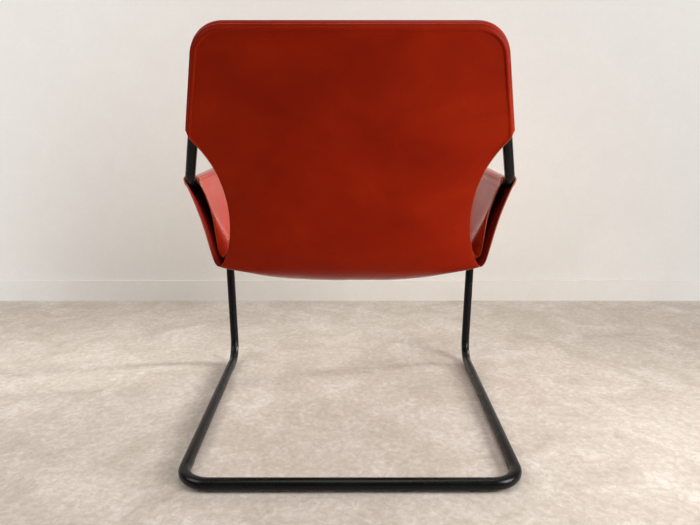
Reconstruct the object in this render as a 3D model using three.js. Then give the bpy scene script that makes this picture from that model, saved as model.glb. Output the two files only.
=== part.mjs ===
// Cantilever lounge chair: one round steel bar, bent into a closed loop, carries a sling of two leather
// panels. Millimetres, +Z up. The sitter faces -Y and the origin lies on the floor under the middle.
import * as THREE from "three";

const clearance = 0.3; // between pieces that touch

// Steel bar. Widths are taken between bar centres, reach is measured forward from the centre of the
// rear floor bar, and heights are those of bar centres above the floor.
const barDiameter = 22;
const bendRadius = 55;
const floorRearWidth = 606;
const floorFrontWidth = 668;
const floorLength = 622;
const armFrontWidth = 702;
const armFrontReach = 658;
const armFrontHeight = 550;
const armRearWidth = 726;
const armRearReach = 367.5;
const armRearHeight = 515;
const backTopWidth = 549;
const backTopReach = 194;
const backTopHeight = 808;
const weldWidth = 3;
const barSides = 16;
const stepsPerBend = 8;

// Floor glides, low pads glued under the runners
const glideSole = 2.5;
const glideRim = 1; // thickness of the upper edge, along the bar
const glideLength = 26;
const glideWidth = 13;
const glideInset = 72; // from a floor corner to the middle of the glide
const glideHold = 50; // degrees of the bar that the glide covers to each side of straight below

// Leather sling
const leatherThickness = 3.2;
const sleeveSlack = 1.5; // room between the bar and the leather round it
const panelSpacing = 5.6; // between the middles of the two panels where they lie together
const seamSpacing = leatherThickness + 2 * clearance; // the same along their sewn front edge
const rimSeamAngle = 47; // degrees from straight behind the bar out to the edge of the outer panel
const rimLapAngle = 38; // degrees that the inner panel runs on beneath the outer one
const armOuterAngle = 22; // degrees below level at which the outer panel leaves the arm bar
const armInnerAngle = 10; // the same for the inner panel, on the inner side of the bar
const armSeamAngle = 38; // degrees above level of the inner panel's edge, lapped over the outer one
const armTuckAngle = 2; // degrees below level at which the outer panel ends beneath it
const seatLowHeight = 274;
const seatFrontReach = 634;
const hemHeight = 622; // where the pocket over the back ends on the rear of the bar
const hemSlant = 25; // how much higher the pocket ends on the outside of the bar
const sleeveRearAngle = 36; // degrees of the rear arm bend that the sleeve covers on its inner side
const sleeveRearSlant = 12; // how many more it covers on its outer side
const sleeveFrontGap = 6; // bare bar between the sleeve and the front arm bend

// The two panels' side cut-outs: the free edge runs from the pocket round the waist to its lowest
// point, and up again to the arm
const cutOuter = {
  low: 44, // from the rear arm corner of the bar inwards to the lowest point
  lowReach: 431,
  lowRise: 43, // of the lowest point above the low point of the seat
  waist: 137, // how strongly the waist is drawn inwards, and down
  waistDrop: 138,
  drawn: 20, // how flat the edge runs before and after its lowest point
  foot: 24,
  rise: 126, // how steeply the edge meets the arm, and how far it leans out and forward
  lean: 43,
};
const cutInner = {
  low: 52,
  lowReach: 432,
  lowRise: 66,
  waist: 130,
  waistDrop: 128,
  drawn: 22,
  foot: 20,
  rise: 72,
  lean: 32,
};

// Section of the sling between its side edges: a row bulges as a superellipse, shallow behind the sitter
// and full under the arms, and is drawn in a little below each arm
const bowlPower = 2.4;
const troughPower = 4.4;
const drawnInShare = 0.107;
const partedShare = 0.2; // of the middle line, over which the panels come together below the hoop

// Grid of a panel: rows run down from the top of the back to the front edge of the seat
const bendRows = 3;
const rodRows = 3;
const waistRows = 7;
const armEdgeRows = 6;
const armBendRows = 3;
const armRows = 2;
const halfColumns = 8;
const cornerColumns = 3;
const rimSteps = 3;
const rimWrapSteps = 6;
const armWrapSteps = 6;
const armLapSteps = 2;
const rowSamples = 96;
const crowding = 1.4; // how closely the rows crowd towards the lowest point of the cut-out

const barRadius = barDiameter / 2;
const floorBarHeight = glideSole + barRadius;
const sleeveRadius = barRadius + sleeveSlack + leatherThickness / 2;
const lapRadius = sleeveRadius + leatherThickness + 2 * clearance;

const place = (x, reach, height) => new THREE.Vector3(x, -reach, height);
const mirrored = (p) => new THREE.Vector3(-p.x, p.y, p.z);
const between = (a, b, share) => a.clone().lerp(b, share);
const offset = (p, ...moves) => moves.reduce((q, [v, by]) => q.addScaledVector(v, by), p.clone());
const unit = (from, to) => to.clone().sub(from).normalize();
const { degToRad, lerp, smoothstep } = THREE.MathUtils;
const sideways = new THREE.Vector3(1, 0, 0);

// Corners of the bar on one side, from the middle of the top of the back to the rear floor bar
const backMiddle = place(0, backTopReach, backTopHeight);
const backCorner = place(backTopWidth / 2, backTopReach, backTopHeight);
const armRear = place(armRearWidth / 2, armRearReach, armRearHeight);
const armFront = place(armFrontWidth / 2, armFrontReach, armFrontHeight);
const floorFront = place(floorFrontWidth / 2, floorLength, floorBarHeight);
const floorRear = place(floorRearWidth / 2, 0, floorBarHeight);

// A bend of the bar: where it starts and ends, and the point and direction at any angle round it
class Bend {
  constructor(before, corner, after) {
    this.incoming = unit(before, corner);
    const outgoing = unit(corner, after);
    this.turn = this.incoming.angleTo(outgoing);
    const tangentLength = bendRadius * Math.tan(this.turn / 2);
    this.start = offset(corner, [this.incoming, -tangentLength]);
    this.end = offset(corner, [outgoing, tangentLength]);
    this.axis = this.incoming.clone().cross(outgoing).normalize();
    this.centre = offset(this.start, [this.axis.clone().cross(this.incoming), bendRadius]);
  }
  at(angle) {
    const arm = this.start.clone().sub(this.centre).applyAxisAngle(this.axis, angle);
    const along = this.incoming.clone().applyAxisAngle(this.axis, angle);
    return { point: this.centre.clone().add(arm), along };
  }
}

// The bar's centre line, with even steps round each bend and one step along each straight
class BarLine extends THREE.Curve {
  constructor(corners) {
    super();
    const last = corners.length - 1;
    this.stations = [{ point: corners[0], along: unit(corners[0], corners[1]) }];
    for (let i = 1; i < last; i++) {
      const bend = new Bend(corners[i - 1], corners[i], corners[i + 1]);
      for (let step = 0; step <= stepsPerBend; step++) {
        this.stations.push(bend.at((bend.turn * step) / stepsPerBend));
      }
    }
    this.stations.push({ point: corners[last], along: unit(corners[last - 1], corners[last]) });
  }
  get steps() {
    return this.stations.length - 1;
  }
  station(share) {
    return this.stations[Math.round(share * this.steps)];
  }
  getPointAt(share, target = new THREE.Vector3()) {
    return target.copy(this.station(share).point);
  }
  getTangentAt(share, target = new THREE.Vector3()) {
    return target.copy(this.station(share).along);
  }
}

function frameBar() {
  const side = [backCorner, armRear, armFront, floorFront, floorRear];
  const first = offset(backMiddle, [sideways, weldWidth / 2 + clearance]);
  const line = new BarLine([first, ...side, ...side.map(mirrored).reverse(), mirrored(first)]);
  const section = new THREE.Shape().absarc(0, 0, barRadius, 0, 2 * Math.PI);
  const sweep = { steps: line.steps, curveSegments: barSides / 2, extrudePath: line };
  return new THREE.ExtrudeGeometry(section, sweep);
}

// The weld that closes the loop, ground flush, in the middle of the top of the back
function buttWeld() {
  const slug = new THREE.CylinderGeometry(barRadius, barRadius, weldWidth, barSides);
  return slug.rotateZ(Math.PI / 2).translate(backMiddle.x, backMiddle.y, backMiddle.z);
}

// A glide: its top is hollowed to the bar, and it stands on a flat sole
function glide() {
  const inner = barRadius + clearance;
  const outer = inner + glideRim;
  const start = degToRad(glideHold) - Math.PI / 2;
  const shape = new THREE.Shape();
  shape.absarc(0, 0, inner, start, -Math.PI - start, true);
  shape.lineTo(-outer * Math.cos(start), outer * Math.sin(start));
  shape.lineTo(-glideWidth / 2, -floorBarHeight);
  shape.lineTo(glideWidth / 2, -floorBarHeight);
  shape.lineTo(outer * Math.cos(start), outer * Math.sin(start));
  const block = { depth: glideLength, bevelEnabled: false, curveSegments: barSides / 2 };
  const pad = new THREE.ExtrudeGeometry(shape, block);
  return pad.translate(0, 0, -glideLength / 2).rotateX(Math.PI / 2);
}

// The hoop of the back is flat: its plane faces the rear and a little down
const hoopBend = new Bend(backMiddle, backCorner, armRear);
const armBend = new Bend(backCorner, armRear, armFront);
const frontBend = new Bend(armRear, armFront, floorFront);
const hoopNormal = hoopBend.axis.clone().multiplyScalar(Math.sign(hoopBend.axis.y));

// A spot on the hoop: the bar's centre with its outward direction in the hoop's plane
const hoopSpot = ({ point, along }) => ({ point, outward: along.clone().cross(hoopNormal).normalize() });
const topSpot = (share) => {
  return hoopSpot({ point: between(backMiddle, hoopBend.start, share), along: hoopBend.incoming });
};
const cornerSpot = (share) => hoopSpot(hoopBend.at(hoopBend.turn * share));
const rodAlong = unit(backCorner, armRear);
const rodSpot = (height) => {
  const share = (hoopBend.end.z - height) / (hoopBend.end.z - armRear.z);
  return hoopSpot({ point: between(hoopBend.end, armRear, share), along: rodAlong });
};

// A spot on the arm bar: its centre with its outward and upward directions
function armSpot({ point, along }) {
  const outward = along.clone().cross(new THREE.Vector3(0, 0, 1)).normalize();
  const facing = outward.x < 0 ? outward.negate() : outward;
  const up = along.clone().cross(facing).normalize();
  return { point, outward: facing, up: up.z < 0 ? up.negate() : up };
}
const armBendSpot = (share, covered) => armSpot(armBend.at(armBend.turn - covered * (1 - share)));
const armBarEnd = offset(frontBend.start, [unit(armRear, armFront), -sleeveFrontGap]);
const armBarSpot = (share) => {
  return armSpot({ point: between(armBend.end, armBarEnd, share), along: unit(armRear, armFront) });
};

// Middle line of the sling, midway between its panels: shares of the reach from the top of the back to
// the front edge of the seat, and of the height from the low point of the seat to the top of the back
const profileShares = [
  [0, 1],
  [0.104, 0.836],
  [0.215, 0.674],
  [0.309, 0.503],
  [0.401, 0.298],
  [0.471, 0.141],
  [0.556, 0.043],
  [0.664, 0],
  [0.787, 0.026],
  [0.906, 0.092],
  [1, 0.17],
];
const profile = new THREE.CatmullRomCurve3(
  profileShares.map(([reach, height]) =>
    place(0, lerp(backTopReach, seatFrontReach, reach), lerp(seatLowHeight, backTopHeight, height)),
  ),
);

// Rows of the grid where one kind of side edge gives way to the next
const rodStart = bendRows;
const waistStart = rodStart + rodRows;
const cutLow = waistStart + waistRows;
const armStart = cutLow + armEdgeRows;
const armBendEnd = armStart + armBendRows;
const lastRow = armBendEnd + armRows;
const closeStart = cutLow + 2; // between these two the panels close up below the arm
const closeEnd = armBendEnd + 1;

// How far down the middle line each of those rows crosses it
const rowShares = [
  [0, 0],
  [rodStart, 0.06],
  [waistStart, 0.29],
  [cutLow, 0.7],
  [armStart, 0.84],
  [armBendEnd, 0.904],
  [lastRow, 1],
];
function shareAt(shares, row) {
  const next = Math.max(1, shares.findIndex(([at]) => at >= row));
  const [[fromRow, from], [toRow, to]] = [shares[next - 1], shares[next]];
  return lerp(from, to, (row - fromRow) / (toRow - fromRow));
}

// Shares of the half width of a row at which its columns lie, on the back and on the seat
const seatColumnShares = [0, 0.17, 0.33, 0.46, 0.56, 0.65, 0.75, 0.87, 1];
const straightTopShare = hoopBend.start.x / (hoopBend.start.x + (bendRadius * hoopBend.turn) / 2);
const straightColumns = halfColumns - cornerColumns;
const backColumnShares = seatColumnShares.map((_, column) =>
  column <= straightColumns
    ? (straightTopShare * column) / straightColumns
    : lerp(straightTopShare, 1, (column - straightColumns) / cornerColumns),
);

// One leather panel. Its side is 1 for the outer panel, behind and below, and -1 for the inner one
class Panel {
  constructor(side, cut) {
    this.side = side;
    this.cut = cut;
    this.quads = [];
    this.hoopRadius = side > 0 ? lapRadius : sleeveRadius;
    this.armRadius = side > 0 ? sleeveRadius : lapRadius;
    this.armLeave = side > 0 ? -degToRad(armOuterAngle) : Math.PI + degToRad(armInnerAngle);
    this.hem = this.hoopHold(rodSpot(hemHeight));
    this.rearSlant = side > 0 ? degToRad(sleeveRearSlant) : 0;
    this.armCorner = this.armHold(this.armSpotAt(armStart), this.armLeave);
    this.low = place(armRearWidth / 2 - cut.low, cut.lowReach, seatLowHeight + cut.lowRise);
    this.waistEdge = new THREE.CubicBezierCurve3(
      this.hem,
      offset(this.hem, [rodAlong, cut.waistDrop], [sideways, -cut.waist]),
      offset(this.low, [sideways, -cut.drawn]),
      this.low,
    );
    this.armEdge = new THREE.CubicBezierCurve3(
      this.low,
      offset(this.low, [sideways, cut.foot]),
      offset(this.armCorner, [place(0, 0, 1), -cut.rise], [place(1, -1, 0), -cut.lean]),
      this.armCorner,
    );
    this.grid = this.halfGrid();
  }

  // A point on the leather round the hoop's bar: the angle runs from the panel's own side outwards
  hoopHold(spot, angle = 0) {
    const out = this.hoopRadius * Math.sin(angle);
    const behind = this.side * this.hoopRadius * Math.cos(angle);
    return offset(spot.point, [spot.outward, out], [hoopNormal, behind]);
  }
  // A point on the leather round the arm bar: the angle runs from the outer side over the top
  armHold(spot, angle) {
    const out = this.armRadius * Math.cos(angle);
    return offset(spot.point, [spot.outward, out], [spot.up, this.armRadius * Math.sin(angle)]);
  }

  // The side edge of the panel at a row, and the spot of bar that carries it where one does
  edge(row) {
    if (row <= rodStart) {
      return this.hoopHold(cornerSpot(lerp(0.5, 1, row / rodStart)));
    }
    if (row < waistStart) {
      const share = (row - rodStart) / rodRows;
      return this.hoopHold(rodSpot(lerp(hoopBend.end.z, hemHeight, share)));
    }
    if (row < cutLow) return this.waistEdge.getPointAt(1 - ((cutLow - row) / waistRows) ** crowding);
    if (row < armStart) return this.armEdge.getPointAt(((row - cutLow) / armEdgeRows) ** crowding);
    return this.armHold(this.armSpotAt(row), this.armLeave);
  }
  armSpotAt(row, wrapped = 0) {
    const covered = degToRad(sleeveRearAngle) + this.rearSlant * (1 - wrapped);
    return row < armBendEnd
      ? armBendSpot((row - armStart) / armBendRows, covered)
      : armBarSpot((row - armBendEnd) / armRows);
  }

  // The middle of the panel at a row
  middle(row) {
    const share = shareAt(rowShares, row);
    const point = profile.getPointAt(share);
    const along = profile.getTangentAt(share);
    const normal = sideways.clone().cross(along).normalize();
    const parted = 1 - smoothstep(share, 0, partedShare);
    return offset(point, [normal, this.side * lerp(panelSpacing / 2, this.hoopRadius, parted)]);
  }

  // Half a row as a curve from the middle to the edge: flat on the back, a deep trough on the seat
  halfRow(row) {
    const middle = this.middle(row);
    const edge = this.edge(row);
    const hung = smoothstep(row, waistStart, armStart);
    const trough = smoothstep(row, cutLow, armStart);
    const power = 2 / lerp(bowlPower, troughPower, trough);
    const points = [];
    for (let i = 0; i <= rowSamples; i++) {
      const angle = (Math.PI / 2) * (i / rowSamples) ** 2;
      const across = Math.sin(angle) ** power;
      const rise = lerp(across ** 3, 1 - Math.cos(angle) ** power, hung);
      const drawnIn = drawnInShare * trough * (1 - rise ** 2);
      points.push(between(middle, edge, rise).setX(edge.x * across * (1 - drawnIn)));
    }
    return points;
  }

  // The points of the half grid, rows by columns
  halfGrid() {
    const grid = [];
    for (let row = 0; row <= lastRow; row++) {
      const curve = this.halfRow(row);
      const lengths = [0];
      for (let i = 1; i < curve.length; i++) lengths.push(lengths[i - 1] + curve[i].distanceTo(curve[i - 1]));
      const seated = smoothstep(row, waistStart, armStart);
      const line = [];
      for (let column = 0; column <= halfColumns; column++) {
        const share = lerp(backColumnShares[column], seatColumnShares[column], seated);
        const wanted = share * lengths.at(-1);
        const next = lengths.findIndex((length, i) => i === rowSamples || lengths[i + 1] > wanted) + 1;
        const last = Math.min(next, rowSamples);
        const part = (wanted - lengths[last - 1]) / (lengths[last] - lengths[last - 1]);
        line.push(between(curve[last - 1], curve[last], part));
      }
      grid.push(line);
    }
    // the first row follows the hoop exactly, and the rows below it take up the difference
    const fadeRows = rodStart + rodRows;
    const moves = grid[0].map((point, column) => this.hoopHold(this.topRowSpot(column)).sub(point));
    for (let row = 0; row < fadeRows; row++) {
      const fade = (1 - row / fadeRows) ** 2;
      moves.slice(0, halfColumns).forEach((move, column) => grid[row][column].addScaledVector(move, fade));
    }
    return grid;
  }
  topRowSpot(column) {
    return column <= straightColumns
      ? topSpot(column / straightColumns)
      : cornerSpot((0.5 * (column - straightColumns)) / cornerColumns);
  }

  // A quad and its mirror image on the other half
  quad(a, b, c, d) {
    this.quads.push([a, b, c, d], [b, a, d, c].map(mirrored));
  }

  build() {
    for (let row = 0; row < lastRow; row++) {
      const [upper, lower] = [this.grid[row], this.grid[row + 1]];
      for (let column = 0; column < halfColumns; column++) {
        this.quad(upper[column], lower[column], lower[column + 1], upper[column + 1]);
      }
    }
    this.hoopStrip();
    this.armStrip();
    return solidSheet(this.quads, leatherThickness);
  }

  // The rim, over the top of the back, round the corner and down the side: the inner panel wraps the bar,
  // and the outer one is lapped over it and sewn down behind the bar
  hoopStrip() {
    const end = degToRad(this.side > 0 ? rimSeamAngle : 180 - rimSeamAngle + rimLapAngle);
    const steps = this.side > 0 ? rimSteps : rimWrapSteps;
    const rim = [];
    for (let column = 0; column <= halfColumns; column++) rim.push([this.topRowSpot(column), 0]);
    for (let row = 1; row <= waistStart; row++) {
      const share = Math.max(0, row - rodStart) / rodRows;
      const corner = lerp(0.5, 1, row / rodStart);
      const spot = row <= rodStart ? cornerSpot(corner) : rodSpot(lerp(hoopBend.end.z, hemHeight, share));
      rim.push([spot, hemSlant * share ** 2]);
    }
    this.strip(steps, rim, ([spot, slant], share) => {
      return offset(this.hoopHold(spot, end * share), [rodAlong, -slant * Math.sin(end * share)]);
    });
  }

  // The arm sleeve: the outer panel goes over the bar, and the inner one is lapped on its inner side
  armStrip() {
    const end = this.side > 0 ? Math.PI + degToRad(armTuckAngle) : Math.PI - degToRad(armSeamAngle);
    const steps = this.side > 0 ? armWrapSteps : armLapSteps;
    const rows = [];
    for (let row = armStart; row <= lastRow; row++) rows.push(row);
    this.strip(steps, rows, (row, share) => {
      return this.armHold(this.armSpotAt(row, share), lerp(this.armLeave, end, share));
    });
  }

  // Quads along a line of spots or rows, in even steps round the bar
  strip(steps, spots, pointAt) {
    const shares = Array.from({ length: steps + 1 }, (_, step) => step / steps);
    const lines = spots.map((spot) => shares.map((share) => pointAt(spot, share)));
    for (let i = 1; i < lines.length; i++) {
      for (let step = 0; step < steps; step++) {
        this.quad(lines[i - 1][step], lines[i][step], lines[i][step + 1], lines[i - 1][step + 1]);
      }
    }
  }
}

// Below the arms and along the front edge the two panels are sewn together: there all but the side
// edges close up, to both sides of the surface midway between them
function sewTogether(outer, inner) {
  const midway = (row) => outer.grid[row].map((p, column) => between(p, inner.grid[row][column], 0.5));
  const shared = outer.grid.map((_, row) => midway(row));
  for (let row = closeStart + 1; row <= lastRow; row++) {
    const closed = smoothstep(row, closeStart, closeEnd);
    const spacing = lerp(panelSpacing, seamSpacing, smoothstep(row, armBendEnd, lastRow));
    for (let column = 0; column < halfColumns; column++) {
      const along = shared[Math.min(row + 1, lastRow)][column].clone().sub(shared[row - 1][column]);
      const across = shared[row][column + 1].clone().sub(shared[row][Math.max(column - 1, 0)]);
      const normal = across.cross(along).normalize();
      for (const panel of [outer, inner]) {
        const sewn = offset(shared[row][column], [normal, (panel.side * spacing) / 2]);
        panel.grid[row][column].lerp(sewn, closed);
      }
    }
  }
}

// Thickens a sheet of quads, given by its middle surface, into one closed solid
function solidSheet(quads, thickness) {
  const mergeWithin = clearance / 10;
  const points = [];
  const known = new Map();
  const indexOf = (p) => {
    const key = p.toArray().map((v) => Math.round(v / mergeWithin)).join();
    if (!known.has(key)) {
      known.set(key, points.length);
      points.push(p);
    }
    return known.get(key);
  };
  const faces = quads.map((quad) => quad.map(indexOf));
  const normals = points.map(() => new THREE.Vector3());
  for (const [a, b, c, d] of faces) {
    const normal = points[c].clone().sub(points[a]).cross(points[d].clone().sub(points[b]));
    for (const index of [a, b, c, d]) normals[index].add(normal);
  }
  const count = points.length;
  const positions = [];
  for (const side of [1, -1]) {
    points.forEach((p, i) => {
      positions.push(...offset(p, [normals[i].clone().normalize(), (side * thickness) / 2]).toArray());
    });
  }
  const index = [];
  const walls = new Map();
  for (const [a, b, c, d] of faces) {
    const short = points[a].distanceTo(points[c]) <= points[b].distanceTo(points[d]);
    const triangles = short ? [[a, b, c], [a, c, d]] : [[b, c, d], [b, d, a]];
    for (const [p, q, r] of triangles) index.push(p, q, r, r + count, q + count, p + count);
    for (const [from, to] of [[a, b], [b, c], [c, d], [d, a]]) {
      const back = `${to},${from}`;
      if (walls.has(back)) walls.delete(back);
      else walls.set(`${from},${to}`, [from, to]);
    }
  }
  for (const [from, to] of walls.values()) {
    index.push(to, from, from + count, to, from + count, to + count);
  }
  const geometry = new THREE.BufferGeometry();
  geometry.setAttribute("position", new THREE.Float32BufferAttribute(positions, 3));
  geometry.setIndex(index);
  return geometry;
}

const blackSteel = new THREE.MeshStandardMaterial({ color: 0x17181a, roughness: 0.42, metalness: 0.2 });
const weldSteel = new THREE.MeshStandardMaterial({ color: 0x3a3a3c, roughness: 0.5, metalness: 0.9 });
const blackNylon = new THREE.MeshStandardMaterial({ color: 0x101010, roughness: 0.7, metalness: 0 });
const leather = new THREE.MeshStandardMaterial({ color: 0x7d1d10, roughness: 0.42, metalness: 0 });

const chair = new THREE.Group();
function add(name, geometry, material) {
  const mesh = new THREE.Mesh(geometry, material);
  mesh.name = name;
  chair.add(mesh);
  return mesh;
}

add("frame_bar", frameBar(), blackSteel);
add("butt_weld", buttWeld(), weldSteel);
const outerPanel = new Panel(1, cutOuter);
const innerPanel = new Panel(-1, cutInner);
sewTogether(outerPanel, innerPanel);
add("outer_leather_panel", outerPanel.build(), leather);
add("inner_leather_panel", innerPanel.build(), leather);

// A glide near each end of both runners
const runnerAlong = unit(floorRear, floorFront);
const runnerTurn = Math.atan2(runnerAlong.x, -runnerAlong.y);
for (const [end, corner, inset] of [["front", floorFront, -glideInset], ["rear", floorRear, glideInset]]) {
  for (const [hand, side] of [["left", 1], ["right", -1]]) {
    const spot = offset(corner, [runnerAlong, inset]);
    const mesh = add(`${end}_${hand}_glide`, glide(), blackNylon);
    mesh.position.set(side * spot.x, spot.y, spot.z);
    mesh.rotation.z = side * runnerTurn;
  }
}

// The chair is centred over the origin
const box = new THREE.Box3().setFromObject(chair);
const centred = new THREE.Group();
chair.position.y = -(box.min.y + box.max.y) / 2;
centred.add(chair);
export default centred;
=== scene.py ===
import math

import bpy
import numpy as np
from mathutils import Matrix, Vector, noise


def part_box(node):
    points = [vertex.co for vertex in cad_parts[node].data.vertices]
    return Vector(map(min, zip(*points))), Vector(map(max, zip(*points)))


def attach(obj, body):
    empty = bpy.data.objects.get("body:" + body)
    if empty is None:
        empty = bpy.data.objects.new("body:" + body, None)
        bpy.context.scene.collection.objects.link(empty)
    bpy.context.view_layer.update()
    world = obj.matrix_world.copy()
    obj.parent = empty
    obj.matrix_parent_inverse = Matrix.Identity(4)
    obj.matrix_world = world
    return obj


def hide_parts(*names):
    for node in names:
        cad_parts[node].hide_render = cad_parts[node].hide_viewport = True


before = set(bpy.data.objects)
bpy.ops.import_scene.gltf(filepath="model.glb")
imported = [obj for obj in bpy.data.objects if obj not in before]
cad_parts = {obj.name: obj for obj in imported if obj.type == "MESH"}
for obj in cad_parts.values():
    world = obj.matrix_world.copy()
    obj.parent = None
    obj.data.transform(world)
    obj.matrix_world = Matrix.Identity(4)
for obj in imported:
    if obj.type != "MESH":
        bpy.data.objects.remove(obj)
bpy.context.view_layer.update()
print("frame loaded with", len(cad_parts), "nodes")

# The bent bar, in metres: widths lie between bar centres, reach runs forward from the rear floor bar
bar = {
    "diameter": 0.022,
    "bendRadius": 0.055,
    "floorRearWidth": 0.606,
    "floorFrontWidth": 0.668,
    "floorLength": 0.622,
    "floorHeight": 0.0135,
    "armFrontWidth": 0.702,
    "armFrontReach": 0.658,
    "armFrontHeight": 0.550,
    "armRearWidth": 0.726,
    "armRearReach": 0.3675,
    "armRearHeight": 0.515,
    "backTopWidth": 0.549,
    "backTopReach": 0.194,
    "backTopHeight": 0.808,
    "weldWidth": 0.003,
    "weldGap": 0.0003,
    "sides": 40,
    "stepsPerBend": 20,
}
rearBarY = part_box("frame_bar")[1][1] - bar["diameter"] / 2


def place(x, reach, height):
    return np.array([x, rearBarY - reach, height])


def unit(v):
    return v / np.linalg.norm(v)


def mirrored(points):
    return np.asarray(points) * np.array([-1.0, 1.0, 1.0])


def turned(v, axis, angle):
    lifted = axis * np.dot(axis, v) * (1 - math.cos(angle))
    return v * math.cos(angle) + np.cross(axis, v) * math.sin(angle) + lifted


def mix(a, b, share):
    return a + (b - a) * share


def eased(value, low, high):
    share = np.clip((value - low) / (high - low), 0, 1)
    return share * share * (3 - 2 * share)


def lengthsAlong(points):
    return np.concatenate([[0], np.cumsum(np.linalg.norm(np.diff(points, axis=0), axis=1))])


def spotsAlong(wanted, lengths, points):
    return np.stack([np.interp(wanted, lengths, points[:, axis]) for axis in range(3)], axis=-1)


class Bend:
    def __init__(self, before, corner, after):
        self.incoming = unit(corner - before)
        outgoing = unit(after - corner)
        self.turn = math.acos(float(np.dot(self.incoming, outgoing)))
        reach = bar["bendRadius"] * math.tan(self.turn / 2)
        self.start = corner - self.incoming * reach
        self.end = corner + outgoing * reach
        self.axis = unit(np.cross(self.incoming, outgoing))
        self.centre = self.start + np.cross(self.axis, self.incoming) * bar["bendRadius"]

    def at(self, share):
        angle = self.turn * share
        spot = self.centre + turned(self.start - self.centre, self.axis, angle)
        return spot, turned(self.incoming, self.axis, angle)


backMiddle = place(0, bar["backTopReach"], bar["backTopHeight"])
backCorner = place(bar["backTopWidth"] / 2, bar["backTopReach"], bar["backTopHeight"])
armRear = place(bar["armRearWidth"] / 2, bar["armRearReach"], bar["armRearHeight"])
armFront = place(bar["armFrontWidth"] / 2, bar["armFrontReach"], bar["armFrontHeight"])
floorFront = place(bar["floorFrontWidth"] / 2, bar["floorLength"], bar["floorHeight"])
floorRear = place(bar["floorRearWidth"] / 2, 0, bar["floorHeight"])
hoopBend = Bend(backMiddle, backCorner, armRear)
armBend = Bend(backCorner, armRear, armFront)
frontBend = Bend(armRear, armFront, floorFront)
hoopNormal = hoopBend.axis * np.sign(hoopBend.axis[1])  # faces the rear and a little down


def meshObject(name, verts, faces, materials, faceMaterial=None, sharp=None):
    mesh = bpy.data.meshes.new(name)
    mesh.from_pydata([tuple(v) for v in verts], [], [tuple(f) for f in faces])
    for material in materials:
        mesh.materials.append(material)
    mesh.polygons.foreach_set("use_smooth", [True] * len(mesh.polygons))
    if faceMaterial is not None:
        mesh.polygons.foreach_set("material_index", [int(i) for i in faceMaterial])
    if sharp:
        wanted = {tuple(sorted(edge)) for edge in sharp}
        flags = mesh.attributes.new("sharp_edge", "BOOLEAN", "EDGE")
        flags.data.foreach_set("value", [tuple(sorted(edge.vertices)) in wanted for edge in mesh.edges])
    mesh.update()
    made = bpy.data.objects.new(name, mesh)
    bpy.context.scene.collection.objects.link(made)
    return made


# Shader groups: each effect is built once and placed in every material that has it
def newGroup(name, inputs, outputs):
    group = bpy.data.node_groups.new(name, "ShaderNodeTree")
    for label, value in inputs.items():
        socket = group.interface.new_socket(name=label, in_out="INPUT", socket_type="NodeSocketFloat")
        socket.default_value = value
    for label in outputs:
        group.interface.new_socket(name=label, in_out="OUTPUT", socket_type="NodeSocketFloat")
    return group, group.nodes.new("NodeGroupInput"), group.nodes.new("NodeGroupOutput")


def addNode(tree, kind, **values):
    node = tree.nodes.new(kind)
    for key, value in values.items():
        setattr(node, key, value)
    return node


def objectSpace(tree):
    return addNode(tree, "ShaderNodeTexCoord").outputs["Object"]


def feed(tree, socket, value):
    # sets a number or a colour, and links anything else
    if isinstance(value, (int, float)):
        socket.default_value = value
    elif isinstance(value, tuple):
        socket.default_value = (*value, 1)
    else:
        tree.links.new(value, socket)


def ramp(tree, source, stops):
    node = addNode(tree, "ShaderNodeValToRGB")
    elements = node.color_ramp.elements
    while len(elements) < len(stops):
        elements.new(0.5)
    for element, (position, value) in zip(elements, stops):
        element.position = position
        element.color = (value, value, value, 1) if isinstance(value, (int, float)) else (*value, 1)
    tree.links.new(source, node.inputs["Fac"])
    return node.outputs["Color"]


def noiseNode(tree, vector, scale, detail=2.0, roughness=0.55, distortion=0.0):
    node = addNode(tree, "ShaderNodeTexNoise")
    tree.links.new(vector, node.inputs["Vector"])
    feed(tree, node.inputs["Scale"], scale)
    node.inputs["Detail"].default_value = detail
    node.inputs["Roughness"].default_value = roughness
    node.inputs["Distortion"].default_value = distortion
    return node.outputs["Fac"]


def mathNode(tree, operation, a, b):
    node = addNode(tree, "ShaderNodeMath", operation=operation)
    for socket, value in zip(node.inputs, (a, b)):
        feed(tree, socket, value)
    return node.outputs[0]


def mixColour(tree, factor, a, b):
    node = addNode(tree, "ShaderNodeMix", data_type="RGBA")
    for label, value in (("Factor", factor), ("A", a), ("B", b)):
        feed(tree, node.inputs[label], value)
    return node.outputs["Result"]


# Dyed leather: broad cloudy dye, small flecks and a fine pore pattern
def makeLeatherGrain():
    group, inlet, outlet = newGroup(
        "leatherGrain", {"Cloud Size": 5.0, "Pore Size": 900.0}, ["Cloud", "Fleck", "Pores"]
    )
    where = objectSpace(group)
    stretch = addNode(group, "ShaderNodeMapping")
    group.links.new(where, stretch.inputs["Vector"])
    stretch.inputs["Scale"].default_value = (1.0, 0.8, 1.5)
    cloud = noiseNode(group, stretch.outputs["Vector"], inlet.outputs["Cloud Size"], 6.0, 0.6, 0.4)
    group.links.new(ramp(group, cloud, [(0.3, 0.0), (0.72, 1.0)]), outlet.inputs["Cloud"])
    fleck = noiseNode(group, where, 170.0, 4.0, 0.7)
    group.links.new(ramp(group, fleck, [(0.36, 0.0), (0.62, 1.0)]), outlet.inputs["Fleck"])
    cells = addNode(group, "ShaderNodeTexVoronoi", feature="DISTANCE_TO_EDGE")
    group.links.new(where, cells.inputs["Vector"])
    group.links.new(inlet.outputs["Pore Size"], cells.inputs["Scale"])
    rounded = ramp(group, cells.outputs["Distance"], [(0.0, 0.0), (0.35, 1.0)])
    pores = mathNode(group, "ADD", rounded, noiseNode(group, where, 260.0))
    group.links.new(pores, outlet.inputs["Pores"])
    return group


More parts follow.
